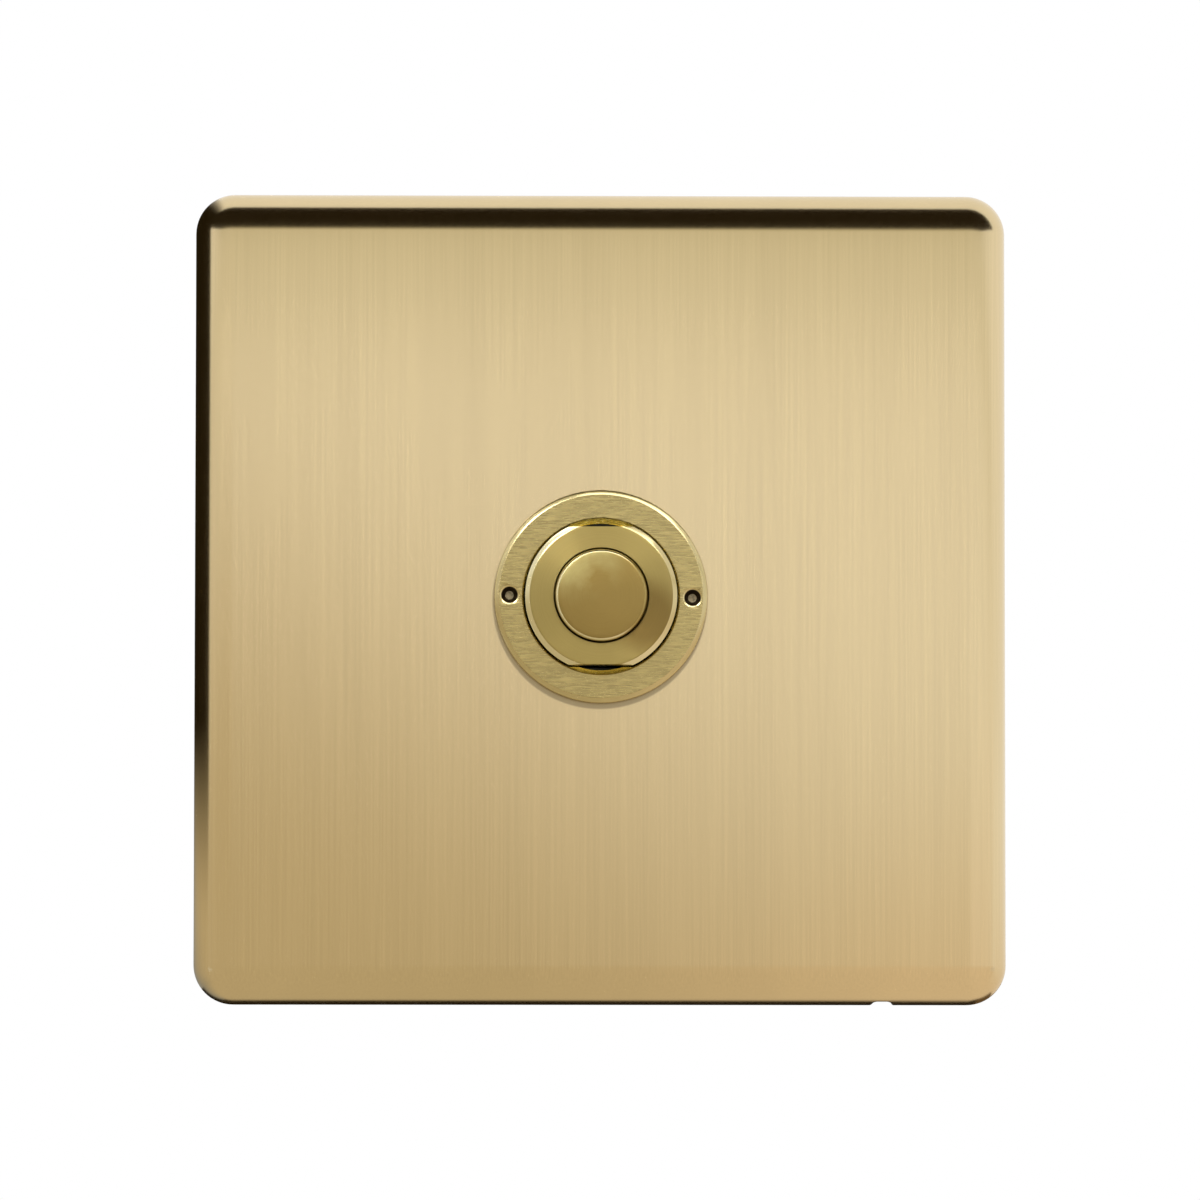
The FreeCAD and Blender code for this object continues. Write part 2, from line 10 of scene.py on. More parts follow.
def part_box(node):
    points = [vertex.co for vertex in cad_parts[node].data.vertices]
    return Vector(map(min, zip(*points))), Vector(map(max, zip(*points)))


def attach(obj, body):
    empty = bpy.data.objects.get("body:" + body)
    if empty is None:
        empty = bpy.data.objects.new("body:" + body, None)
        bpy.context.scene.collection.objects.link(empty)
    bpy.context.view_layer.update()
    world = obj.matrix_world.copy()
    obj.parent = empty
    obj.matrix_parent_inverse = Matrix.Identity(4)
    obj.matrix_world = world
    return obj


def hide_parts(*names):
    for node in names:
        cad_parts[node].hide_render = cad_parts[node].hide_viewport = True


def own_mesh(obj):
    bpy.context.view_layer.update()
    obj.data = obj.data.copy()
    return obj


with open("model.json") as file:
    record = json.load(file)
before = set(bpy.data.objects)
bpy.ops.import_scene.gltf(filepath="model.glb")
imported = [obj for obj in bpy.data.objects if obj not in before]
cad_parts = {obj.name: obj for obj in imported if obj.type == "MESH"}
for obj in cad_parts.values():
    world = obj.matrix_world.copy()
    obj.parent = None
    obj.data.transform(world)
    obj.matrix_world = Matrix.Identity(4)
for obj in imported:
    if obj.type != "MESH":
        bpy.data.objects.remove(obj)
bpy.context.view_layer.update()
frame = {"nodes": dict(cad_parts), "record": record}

bl_info = {
    "name": "Push button light switch",
    "version": (1, 0, 0),
    "blender": (4, 5, 0),
    "location": "View3D > Sidebar > Switch",
    "description": "Models and dresses a push button light switch on a screwless brass plate",
    "category": "Object",
}

# The front of the switch faces -Y, the wall is the plane y = 0 and +Z is up. Lengths are in metres.
MM = 0.001
# Levels within TINY are the same level, points within MERGE are one, and a cutter reaches PAST what it cuts.
TINY = 1e-6
MERGE = 1e-7
PAST = 1.0 * MM
# Angles between faces: shaded as one curve, rounded as an edge, and merged as one flat.
SMOOTH_UNDER = math.radians(35)
SQUARE_OVER = math.radians(60)
FLAT_UNDER = math.radians(0.5)
# A place times this keeps only what the front shows of it.
NO_DEPTH = (1.0, 0.0, 1.0)
# Most of a noise's values lie between these.
NOISE_SPAN = {"From Min": 0.3, "From Max": 0.7}
# Where the two lamps stand.
KEY_PLACE = (-0.4, -0.6, 0.6)
FILL_PLACE = (0.5, 0.6, 0.6)
# The bodies that the pieces ride on.
BODY = "switch_body"
BUTTON_BODY = "push_button"


def linear(code):
    """An sRGB hex colour as linear red, green and blue."""
    parts = [int(code[i:i + 2], 16) / 255 for i in (0, 2, 4)]
    return tuple(part / 12.92 if part <= 0.04045 else ((part + 0.055) / 1.055) ** 2.4 for part in parts)


def length_of(name, description, default):
    return FloatProperty(name=name, description=description, default=default, unit="LENGTH", precision=5)


def angle_of(name, description, degrees):
    return FloatProperty(name=name, description=description, default=math.radians(degrees), subtype="ANGLE")


def colour_of(name, description, code):
    return FloatVectorProperty(name=name, description=description, default=linear(code), size=3,
                               min=0.0, max=1.0, subtype="COLOR")


class SwitchSizes(bpy.types.PropertyGroup):
    """Sizes of the pieces that the solids' boxes don't give"""

    plate_round: length_of("Plate round", "Radius of the plate's rolled edges and corners", 4.2 * MM)
    plate_sheet: length_of("Plate sheet", "Thickness of the plate's sheet", 1.0 * MM)
    hollow_round: length_of("Hollow round", "Radius inside the plate's rolled edges", 2.9 * MM)
    roll_segments: IntProperty(name="Roll segments", description="Faces across a rolled edge", default=16,
                               min=2)
    notch_place: length_of("Notch place", "Distance of the pry notch from the plate's middle", 29.8 * MM)
    notch_width: length_of("Notch width", "Width of the pry notch at the wall", 3.2 * MM)
    notch_depth: length_of("Notch depth", "Height of the pry notch above the wall", 3.0 * MM)
    notch_taper: FloatProperty(name="Notch taper", default=0.55, min=0.1, max=1.0,
                               description="Share of its width that the pry notch keeps inside")
    notch_round: length_of("Notch round", "Radius of the pry notch's inner corners", 0.4 * MM)
    groove_length: length_of("Groove length", "Length of a clip groove inside the skirt", 6.16 * MM)
    groove_depth: length_of("Groove depth", "Depth of a clip groove into the skirt", 0.35 * MM)
    groove_low: length_of("Groove low", "Lower side of a clip groove above the wall", 0.6 * MM)
    groove_high: length_of("Groove high", "Upper side of a clip groove above the wall", 1.8 * MM)
    hole_gap: length_of("Hole gap", "Gap between the bush and the plate's hole", 0.15 * MM)
    bush_radius: length_of("Bush radius", "Outer radius of the bush's thread", 8.0 * MM)
    bush_flat: length_of("Bush flat", "Depth of the flats along the bush", 0.75 * MM)
    bush_bevel: length_of("Bush bevel", "Width of the bevel round the bush, seen from the front", 0.5 * MM)
    bush_fall: length_of("Bush fall", "How far the bush's bevel falls back", 0.29 * MM)
    bush_crown: length_of("Bush crown", "How far the bush's face falls away towards its bevel", 0.1 * MM)
    bush_guide: length_of("Bush guide", "Length of the bush's front bore", 4.0 * MM)
    flange_thick: length_of("Flange", "Thickness of the bush's square flange", 1.8 * MM)
    button_radius: length_of("Button radius", "Radius of the button's cap", 4.85 * MM)
    button_gap: length_of("Button gap", "Gap round the button", 0.18 * MM)
    button_crown: length_of("Button crown", "Height of the button's dome", 0.24 * MM)
    button_edge: length_of("Button edge", "Rounding of the button's rim", 0.42 * MM)
    button_flange: length_of("Button flange", "Thickness of the button's stop flange", 1.4 * MM)
    rod_radius: length_of("Rod radius", "Radius of the button's socket for the push rod", 2.52 * MM)
    rod_socket: length_of("Rod socket", "Depth of the button's socket", 2.6 * MM)
    thread_pitch: length_of("Thread pitch", "Distance from ridge to ridge of the bush's thread", 0.75 * MM)
    thread_depth: length_of("Thread depth", "Height of the thread's ridges", 0.46 * MM)
    thread_gap: length_of("Thread gap", "Gap between the threads of the bush and the ring nut", 0.22 * MM)
    ring_bevel: length_of("Ring bevel", "Width of the ring nut's bevel, seen from the front", 0.5 * MM)
    ring_fall: length_of("Ring fall", "How far the ring nut's bevel falls back", 0.24 * MM)
    ring_mouth: length_of("Ring mouth", "Bevel at the mouth of the ring nut's bore", 0.12 * MM)
    ring_recess: length_of("Ring recess", "Depth of the ring nut's plain mouth before its thread", 1.0 * MM)
    spanner_circle: length_of("Spanner circle", "Distance of the spanner holes from the middle", 9.65 * MM)
    spanner_hole: length_of("Spanner hole", "Radius of a spanner hole", 0.875 * MM)
    spanner_lip: length_of("Spanner lip", "Width of the bevel round a spanner hole", 0.16 * MM)
    spanner_depth: length_of("Spanner depth", "Depth of a spanner hole", 1.0 * MM)
    spanner_floor: length_of("Spanner floor", "Radius of the flat at the bottom of a spanner hole", 0.45 * MM)
    spanner_turn: angle_of("Spanner turn", "How far the ring nut was tightened past level", -0.85)
    spring_wire: length_of("Spring wire", "Thickness of the return spring's wire", 0.6 * MM)
    spring_turns: FloatProperty(name="Spring turns", description="Turns of the return spring", default=2.5,
                                min=1.0)
    clamp_shank: length_of("Clamp shank", "Radius of a clamp screw's shank", 1.75 * MM)
    clamp_head: length_of("Clamp head", "Height of a clamp screw's head", 1.9 * MM)
    earth_shank: length_of("Earth shank", "Radius of the earth screw's shank", 2.0 * MM)
    earth_head: length_of("Earth head", "Height of the earth screw's head", 2.4 * MM)
    slot_width: length_of("Slot width", "Width of a screw's driver slot", 0.9 * MM)
    slot_depth: length_of("Slot depth", "Depth of a screw's driver slot", 0.9 * MM)
    mould_edge: length_of("Moulded edge", "Softness of the switch body's edges", 0.2 * MM)
    press_edge: length_of("Pressed edge", "Softness of the other pieces' edges", 0.12 * MM)


class SwitchColours(bpy.types.PropertyGroup):
    """Colours of the finishes"""

    plate: colour_of("Plate", "Lacquered brushed brass of the plate", "DFCA9F")
    ring: colour_of("Ring nut", "Rubbed brass of the ring nut", "B6A46E")
    # A lighter tone on the ring nut's bevels and spanner hole lips, partly a painted highlight, and painted
    # shade on the upper right of the bush's bevel.
    rim: colour_of("Rim", "Bevels of the ring nut, and the dull side of the bush's", "CDBC8A")
    thread: colour_of("Thread", "Freshly cut brass of the threads", "F6EBB6")
    bush: colour_of("Bush", "Turned brass of the bush", "A8955B")
    # A lighter tone painted on the bevels of the bush and the button's rim as a highlight.
    bevel: colour_of("Bevel", "Highlighted edges of the bush and the button", "E2D6AA")
    # The button's lighter tone, towards its edge and at its upper left, is a painted highlight.
    button: colour_of("Button", "Handled brass of the button", "B5A76E")
    patina: colour_of("Patina", "Browner brass where the button is touched", "978049")
    # Painted shade: the bush's face darkens to this tone towards its lower right.
    bush_painted_shade: colour_of("Tarnish", "Tarnish on the lower right of the bush", "86703F")
    # Painted shade: the walls of the spanner holes are coloured this dark.
    hole_wall_shade: colour_of("Shadow", "Shade on the walls of the spanner holes", "3E3120")
    dust: colour_of("Dust", "Dust packed in the bottom of the spanner holes", "A39678")
    frame: colour_of("Frame", "Black moulded frame", "141416")
    body: colour_of("Switch body", "Off-white moulded switch body", "E6E3DA")
    rod: colour_of("Rod", "Natural acetal of the rod and its guide", "D9D5C8")
    zinc: colour_of("Zinc", "Zinc plated steel", "B9BCBD")
    terminal: colour_of("Terminals", "Machined brass of the terminals", "C8A557")
    copper: colour_of("Contacts", "Rolled copper strip", "B87752")
    silver: colour_of("Pads", "Silver contact pads", "D2D1CC")
    spring: colour_of("Spring", "Drawn spring wire", "8C8E91")
    floor: colour_of("Floor", "Pale floor", "EDEDEB")


class SwitchStage(bpy.types.PropertyGroup):
    """Camera and light"""

    azimuth: angle_of("Azimuth", "Camera's angle to the right of straight ahead", -0.9)
    elevation: angle_of("Elevation", "Camera's angle above straight ahead", -3.2)
    roll: angle_of("Roll", "Camera's turn about its own axis", 0.05)
    distance: length_of("Distance", "From the camera to the plate", 0.8)
    view_width: length_of("View width", "What the picture takes in at the plate", 127.6 * MM)
    floor_drop: length_of("Floor drop", "From the middle of the plate down to the floor", 0.09)
    floor_side: length_of("Floor side", "Side of the floor", 1.6)
    lamp_side: length_of("Lamp side", "Side of a square lamp", 0.5)
    key_power: FloatProperty(name="Key power", description="Power of the front lamp", default=2.8,
                             unit="POWER")
    fill_power: FloatProperty(name="Fill power", description="Power of the lamp behind", default=1.5,
                              unit="POWER")
    sky: FloatProperty(name="Sky", description="Strength of the even light all round", default=0.62, min=0.0)


def add_node(tree, kind, inputs=None, **settings):
    """Adds a shader node, sets its properties and links or sets its inputs."""
    node = tree.nodes.new("ShaderNode" + kind)
    for name, value in settings.items():
        setattr(node, name, value)
    for socket, value in (inputs or {}).items():
        if isinstance(value, bpy.types.NodeSocket):
            tree.links.new(value, node.inputs[socket])
        else:
            node.inputs[socket].default_value = value
    return node


def per_metre(sizes):
    """The scale that makes a pattern repeat at the given size in millimetres along each axis."""
    return tuple(1.0 / (size * MM) for size in sizes)


def new_finish(name, metallic):
    """A new material with its node tree and its surface shader."""
    material = bpy.data.materials.new(name)
    material.use_nodes = True
    tree = material.node_tree
    surface = tree.nodes["Principled BSDF"]
    surface.inputs["Metallic"].default_value = metallic
    return material, tree, surface


def roughen(tree, surface, noise, rough, depth):
    """Lets a noise set a surface's roughness between two values, and its relief to a depth in millimetres."""
    level = noise.outputs["Fac"]
    gloss = add_node(tree, "MapRange", {"Value": level, **NOISE_SPAN, "To Min": rough[0], "To Max": rough[1]})
    tree.links.new(gloss.outputs["Result"], surface.inputs["Roughness"])
    bump = add_node(tree, "Bump", {"Distance": depth * MM, "Height": level})
    tree.links.new(bump.outputs["Normal"], surface.inputs["Normal"])


def grained_metal(name, colour, grain, cloud, rough, depth, contrast):
    """Metal rubbed one way: streaks of the size grain under clouds of the size cloud, in millimetres."""
    material, tree, surface = new_finish(name, 1.0)
    place = add_node(tree, "TexCoord").outputs["Object"]
    fine = add_node(tree, "Mapping", {"Vector": place, "Scale": per_metre(grain)})
    streaks = add_node(tree, "TexNoise", {"Vector": fine.outputs["Vector"], "Scale": 1.0, "Detail": 3.0})
    broad = add_node(tree, "Mapping", {"Vector": place, "Scale": per_metre(cloud)})
    clouds = add_node(tree, "TexNoise", {"Vector": broad.outputs["Vector"], "Scale": 1.0, "Detail": 1.0})
    streak = add_node(tree, "MapRange", {"Value": streaks.outputs["Fac"], "From Min": 0.25, "From Max": 0.75,
                                         "To Min": 1.0 - contrast, "To Max": 1.0 + contrast})
    cloudy = add_node(tree, "MapRange", {"Value": clouds.outputs["Fac"], **NOISE_SPAN, "To Min": 0.97,
                                         "To Max": 1.0})
    share = add_node(tree, "Math", {0: streak.outputs["Result"], 1: cloudy.outputs["Result"]},
                     operation="MULTIPLY")
    tint = add_node(tree, "VectorMath", {0: colour, "Scale": share.outputs["Value"]}, operation="SCALE",
                    name="tint")
    tree.links.new(tint.outputs["Vector"], surface.inputs["Base Color"])
    roughen(tree, surface, streaks, rough, depth)
    return material


def brushed_plate_brass(colours, foot):
    # Brass sheet brushed up and down and lacquered: fine upright lines that blur reflections sideways.
    # The real lines are about 0.05 mm wide; they are drawn at 0.16 mm so that they show.
    material = grained_metal("lacquered_brushed_brass", colours.plate, grain=(0.16, 0.16, 22),
                             cloud=(5, 5, 90), rough=(0.19, 0.23), depth=0.0016, contrast=0.035)
    # Below the ring nut, whose radius is foot, a thin dark crescent is painted on the plate as the nut's
    # shadow.
    tree = material.node_tree
    place = add_node(tree, "TexCoord").outputs["Object"]
    shadow_middle = add_node(tree, "VectorMath", {0: place, 1: (0.1 * MM, 0.0, 0.5 * MM)}, operation="ADD")
    flat = add_node(tree, "VectorMath", {0: shadow_middle.outputs["Vector"], 1: NO_DEPTH}, operation="MULTIPLY")
    radius = add_node(tree, "VectorMath", {0: flat.outputs["Vector"]}, operation="LENGTH")
    share = add_node(tree, "MapRange", {"Value": radius.outputs["Value"], "From Min": foot - 0.05 * MM,
                                        "From Max": foot + 0.2 * MM, "To Min": 0.55, "To Max": 1.0},
                     interpolation_type="SMOOTHSTEP")
    shown = add_node(tree, "VectorMath", {0: tree.nodes["tint"].outputs["Vector"],
                                          "Scale": share.outputs["Result"]}, operation="SCALE")
    tree.links.new(shown.outputs["Vector"], tree.nodes["Principled BSDF"].inputs["Base Color"])
    return material


def rubbed_ring_brass(colours):
    # Brass faced flat and rubbed from side to side: short level scratches, deeper than the plate's.
    return grained_metal("rubbed_brass", colours.ring, grain=(1.5, 0.14, 0.14), cloud=(6, 6, 3),
                         rough=(0.2, 0.36), depth=0.008, contrast=0.26)


def fresh_thread_brass(colours):
    # Brass fresh from the threading die, without lacquer: bright and yellow.
    return grained_metal("fresh_cut_brass", colours.thread, grain=(0.6, 0.08, 0.6), cloud=(2, 2, 2),
                         rough=(0.16, 0.3), depth=0.004, contrast=0.15)


def bevelled_ring_brass(colours):
    # The bevels that the tool cut last on the ring nut, and the lips of its spanner holes: brighter than its
    # rubbed face, partly as fresh cut brass and partly as a painted highlight.
    return grained_metal("bevelled_brass", colours.rim, grain=(1, 0.1, 1), cloud=(3, 3, 3),
                         rough=(0.14, 0.22), depth=0.001, contrast=0.05)


def shaded_hole_brass(colours):
    # Painted shade on the walls of a drilled hole: dull dark brown.
    return grained_metal("shaded_hole_wall_brass", colours.hole_wall_shade, grain=(0.3, 0.3, 0.3), cloud=(1, 1, 1),
                         rough=(0.5, 0.7), depth=0.03, contrast=0.4)


def dusty_hole_brass(colours):
    # Dust packed in the bottom of a drilled hole: grey-brown crumbs.
    return grained_metal("dusty_brass", colours.dust, grain=(0.3, 0.3, 0.3), cloud=(1, 1, 1),
                         rough=(0.5, 0.7), depth=0.03, contrast=0.6)


def zinc_plated_steel(colours):
    # Bright zinc plate on pressed steel: cool grey with a soft mottle.
    return grained_metal("zinc_plated_steel", colours.zinc, grain=(1.6, 1.6, 1.6), cloud=(7, 7, 7),
                         rough=(0.3, 0.46), depth=0.004, contrast=0.08)


def machined_terminal_brass(colours):
    # Brass bar sawn and drilled: short even tool lines.
    return grained_metal("machined_brass", colours.terminal, grain=(0.25, 3, 3), cloud=(6, 6, 6),
                         rough=(0.24, 0.36), depth=0.004, contrast=0.08)


def rolled_copper(colours):
    # Copper strip straight from the rolls: long faint lines and a warm tarnish.
    return grained_metal("rolled_copper", colours.copper, grain=(0.3, 0.3, 9), cloud=(5, 5, 5),
                         rough=(0.28, 0.42), depth=0.003, contrast=0.1)


def contact_silver(colours):
    # Silver alloy pads, slightly matt from pressing.
    return grained_metal("contact_silver", colours.silver, grain=(0.4, 0.4, 0.4), cloud=(2, 2, 2),
                         rough=(0.28, 0.38), depth=0.003, contrast=0.05)


def drawn_spring_wire(colours):
    # Drawn steel wire: smooth, with faint lines along it.
    return grained_metal("drawn_spring_steel", colours.spring, grain=(0.6, 0.1, 0.6), cloud=(3, 3, 3),
                         rough=(0.2, 0.32), depth=0.002, contrast=0.06)


def lathe_turned_brass(name, tones, wear_and_shading, reach, rough, spread):
    """Brass with a lathe tool's circles: a tone at its reach, one in its middle and one away from a spot."""
    rim_tone, middle_tone, wear_and_shading_tone = [tuple(tone) + (1.0,) for tone in tones]
    # In millimetres: the spot, the distance from it where the third tone begins, and where it is full.
    # The third tone is wear on the button and painted shade on the bush, its bevel and the button's rim.
    spot, clear, full = wear_and_shading
    material, tree, surface = new_finish(name, 1.0)
    place = add_node(tree, "TexCoord").outputs["Object"]
    flat = add_node(tree, "VectorMath", {0: place, 1: NO_DEPTH}, operation="MULTIPLY")
    radius = add_node(tree, "VectorMath", {0: flat.outputs["Vector"]}, operation="LENGTH")
    # The tool's feed is about 0.05 mm; the circles are drawn at 0.09 mm so that they show faintly.
    circles = add_node(tree, "TexNoise", {"W": radius.outputs["Value"], "Scale": 1.0 / (0.09 * MM),
                                          "Detail": 3.0}, noise_dimensions="1D")
    stain_place = add_node(tree, "Mapping", {"Vector": place, "Scale": per_metre((1.8, 1.8, 1.8))})
    stains = add_node(tree, "TexNoise", {"Vector": stain_place.outputs["Vector"], "Scale": 1.0,
                                         "Detail": 4.0})
    outward = add_node(tree, "MapRange", {"Value": radius.outputs["Value"], "From Min": 0.25 * reach * MM,
                                          "From Max": reach * MM}, interpolation_type="SMOOTHSTEP")
    uneven = add_node(tree, "MapRange", {"Value": stains.outputs["Fac"], **NOISE_SPAN, "To Min": -0.3,
                                         "To Max": 0.3})
    tone = add_node(tree, "Math", {0: outward.outputs["Result"], 1: uneven.outputs["Result"]},
                    operation="ADD", use_clamp=True)
    tint = add_node(tree, "Mix", {"Factor": tone.outputs["Value"], 6: middle_tone, 7: rim_tone},
                    data_type="RGBA")
    away = add_node(tree, "VectorMath", {0: flat.outputs["Vector"], 1: Vector(spot) * MM},
                    operation="DISTANCE")
    side = add_node(tree, "MapRange", {"Value": away.outputs["Value"], "From Min": clear * MM,
                                       "From Max": full * MM}, interpolation_type="SMOOTHSTEP")
    wear_and_shading_mix = add_node(tree, "Mix", {"Factor": side.outputs["Result"], 6: tint.outputs[2], 7: wear_and_shading_tone},
                    data_type="RGBA")
    line = add_node(tree, "MapRange", {"Value": circles.outputs["Fac"], **NOISE_SPAN, "To Min": 0.95,
                                       "To Max": 1.05})
    shown = add_node(tree, "VectorMath", {0: wear_and_shading_mix.outputs[2], "Scale": line.outputs["Result"]},
                     operation="SCALE")
    tree.links.new(shown.outputs["Vector"], surface.inputs["Base Color"])
    roughen(tree, surface, circles, rough, depth=0.002)
    # Grooves round the axis spread a reflection along the radius, so the tangent points outwards.
    surface.inputs["Anisotropic"].default_value = spread
    tree.links.new(flat.outputs["Vector"], surface.inputs["Tangent"])
    return material


def turned_bush_brass(colours):
    # Brass turned on a lathe: circles left by the tool, which spread a lamp's reflection into a fan.
    # Towards the lower right the face darkens to a painted shade.
    return lathe_turned_brass("turned_brass", (colours.bush, colours.bush, colours.bush_painted_shade),
                              wear_and_shading=((4.7, 0.0, -2.2), 5.0, 2.0), reach=8.0, rough=(0.36, 0.44), spread=0.75)


def burnished_and_highlit_bevel_brass(colours):
    # The bevel that the tool finished last, smooth, with a lighter tone on the left that is a painted
    # highlight, and darker towards the upper right as painted shade.
    return lathe_turned_brass("burnished_and_highlit_brass", (colours.bevel, colours.bevel, colours.rim),
                              wear_and_shading=((6.4, 0.0, 4.8), 10.3, 6.5), reach=8.0, rough=(0.12, 0.18), spread=0.0)


def handled_and_highlit_button_brass(colours):
    # The same turned brass, satin, and browner where fingers press it; lighter towards its edge and most at
    # its upper left edge, which is a painted highlight.
    return lathe_turned_brass("handled_and_highlit_brass", (colours.button, colours.patina, colours.patina),
                              wear_and_shading=((-1.9, 0.0, 3.3), 1.2, 5.0), reach=4.8, rough=(0.36, 0.44), spread=0.3)


def highlit_rim_brass(colours):
    # The button's rounded rim, in a lighter tone that is a painted highlight, fading on the right to the
    # bush's tone as painted shade.
    return lathe_turned_brass("highlit_rim_brass", (colours.bevel, colours.bevel, colours.bush),
                              wear_and_shading=((20.0, 0.0, 0.0), 19.0, 16.7), reach=4.8, rough=(0.2, 0.28), spread=0.0)


def moulded_plastic(name, colour, rough, grit, depth):
    """A plastic moulding with a fine mould texture of the size grit, in millimetres."""
    material, tree, surface = new_finish(name, 0.0)
    place = add_node(tree, "TexCoord").outputs["Object"]
    fine = add_node(tree, "Mapping", {"Vector": place, "Scale": per_metre((grit, grit, grit))})
    texture = add_node(tree, "TexNoise", {"Vector": fine.outputs["Vector"], "Scale": 1.0})
    broad = add_node(tree, "Mapping", {"Vector": place, "Scale": per_metre((12, 12, 12))})
    flow = add_node(tree, "TexNoise", {"Vector": broad.outputs["Vector"], "Scale": 1.0})
    share = add_node(tree, "MapRange", {"Value": flow.outputs["Fac"], **NOISE_SPAN, "To Min": 0.93,
                                        "To Max": 1.0})
    tint = add_node(tree, "VectorMath", {0: colour, "Scale": share.outputs["Result"]}, operation="SCALE")
    tree.links.new(tint.outputs["Vector"], surface.inputs["Base Color"])
    roughen(tree, surface, texture, (rough - 0.06, rough + 0.06), depth)
    return material


def black_frame_plastic(colours):
    # Black ABS from a textured mould: a dull, even sheen.
    return moulded_plastic("black_abs", colours.frame, rough=0.5, grit=0.35, depth=0.02)


def pale_body_plastic(colours):
    # Off-white urea moulding: smooth and slightly glossy, with faint flow clouds.
    return moulded_plastic("white_urea", colours.body, rough=0.38, grit=0.5, depth=0.008)


def natural_rod_plastic(colours):
    # Natural acetal: waxy and a little translucent.
    material = moulded_plastic("natural_acetal", colours.rod, rough=0.42, grit=0.4, depth=0.006)
    surface = material.node_tree.nodes["Principled BSDF"]
    surface.inputs["Subsurface Weight"].default_value = 0.15
    surface.inputs["Subsurface Scale"].default_value = 1.0 * MM
    return material


def block(low, high):
    """A block between two corners."""
    bm = bmesh.new()
    bmesh.ops.create_cube(bm, size=1.0)
    bmesh.ops.scale(bm, vec=Vector(high) - Vector(low), verts=bm.verts)
    bmesh.ops.translate(bm, vec=(Vector(high) + Vector(low)) / 2, verts=bm.verts)
    return bm


def round_edges(bm, edges, radius, segments):
    bmesh.ops.bevel(bm, geom=edges, offset=radius, offset_type="OFFSET", affect="EDGES", segments=segments,
                    profile=0.5, material=-1)


def pillow(half, back, front, radius, segments):
    """A square block on the wall whose front edges and corners are rolled over."""
    bm = block((-half, front, -half), (half, back, half))
    rolled = [edge for edge in bm.edges if any(abs(vert.co.y - back) > TINY for vert in edge.verts)]
    round_edges(bm, rolled, radius, segments)
    return bm


def bar(radius, start, end):
    """A round bar along Y from start back to end."""
    bm = bmesh.new()
    place = Matrix.Translation((0.0, (start + end) / 2, 0.0)) @ Matrix.Rotation(math.pi / 2, 4, "X")
    bmesh.ops.create_cone(bm, cap_ends=True, segments=96, radius1=radius, radius2=radius, depth=end - start,
                          matrix=place)
    return bm


def turned(profile, steps=96):
    """A closed outline of (radius, y) corners turned about the Y axis."""
    bm = bmesh.new()
    points = [bm.verts.new((radius, y, 0.0)) for radius, y in profile]
    pairs = list(zip(points, points[1:] + points[:1]))
    edges = [bm.edges.new(pair) for pair in pairs if max(pair[0].co.x, pair[1].co.x) > TINY]
    bmesh.ops.spin(bm, geom=points + edges, cent=(0, 0, 0), axis=(0, 1, 0), angle=math.tau, steps=steps,
                   use_merge=True)
    bmesh.ops.remove_doubles(bm, verts=bm.verts, dist=MERGE)
    bmesh.ops.recalc_face_normals(bm, faces=bm.faces)
    return bm


def off_axis(place):
    """Distance of a place from the Y axis."""
    return math.hypot(place.x, place.z)


def round_rim(bm, radius, y, size, segments=5):
    """Rounds the circular edge at a radius and a level."""
    rim = [edge for edge in bm.edges
           if all(abs(off_axis(vert.co) - radius) < TINY and abs(vert.co.y - y) < TINY
                  for vert in edge.verts)]
    round_edges(bm, rim, size, segments)


def ridges(start, end, pitch, at_whole, at_half):
    """Corners of a thread's ridges between two levels, in step with y = 0 so that mating threads mesh."""
    first = math.floor(min(start, end) / (pitch / 2)) + 1
    last = math.ceil(max(start, end) / (pitch / 2)) - 1
    corners = [(at_half if step % 2 else at_whole, step * pitch / 2) for step in range(first, last + 1)]
    return corners if end > start else corners[::-1]


def to_object(name, bm):
    mesh = bpy.data.meshes.new(name)
    bm.to_mesh(mesh)
    bm.free()
    piece = bpy.data.objects.new(name, mesh)
    bpy.context.scene.collection.objects.link(piece)
    return piece


def carve(piece, tool_bm, operation="DIFFERENCE"):
    """Cuts a tool out of a piece, or joins the tool to it."""
    tool = to_object("tool", tool_bm)
    modifier = piece.modifiers.new("carve", "BOOLEAN")
    modifier.operation = operation
    modifier.solver = "EXACT"
    modifier.object = tool
    carved = bpy.data.meshes.new_from_object(piece.evaluated_get(bpy.context.evaluated_depsgraph_get()))
    piece.modifiers.clear()
    blank = piece.data
    piece.data = carved
    carved.name = piece.name
    for mesh in (blank, tool.data):
        bpy.data.meshes.remove(mesh)
    return piece


def settle(piece, materials, body, slot, *nodes):
    """Smooths a piece, gives it its finishes and hangs it on its body in place of its solids."""
    bm = bmesh.new()
    bm.from_mesh(piece.data)
    bmesh.ops.remove_doubles(bm, verts=bm.verts, dist=MERGE)
    bmesh.ops.dissolve_degenerate(bm, dist=TINY, edges=bm.edges)
    bmesh.ops.recalc_face_normals(bm, faces=bm.faces)
    bm.to_mesh(piece.data)
    bm.free()
    piece.data.shade_smooth()
    piece.data.set_sharp_from_angle(angle=SMOOTH_UNDER)
    for material in materials:
        piece.data.materials.append(material)
    weighted = piece.modifiers.new("weighted_normals", "WEIGHTED_NORMAL")
    weighted.keep_sharp = True
    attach(piece, body)
    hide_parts(*nodes)
    return piece


def paint_where(piece, index, chosen):
    """Gives the faces whose middles are chosen the finish with this index."""
    for face in piece.data.polygons:
        if chosen(face.center):
            face.material_index = index


class SwitchOperator:
    """What the operators of this file share"""

    bl_options = {"REGISTER", "UNDO"}

    def execute(self, context):
        self.make(context.scene.switch_sizes, context.scene.switch_colours)
        return {"FINISHED"}


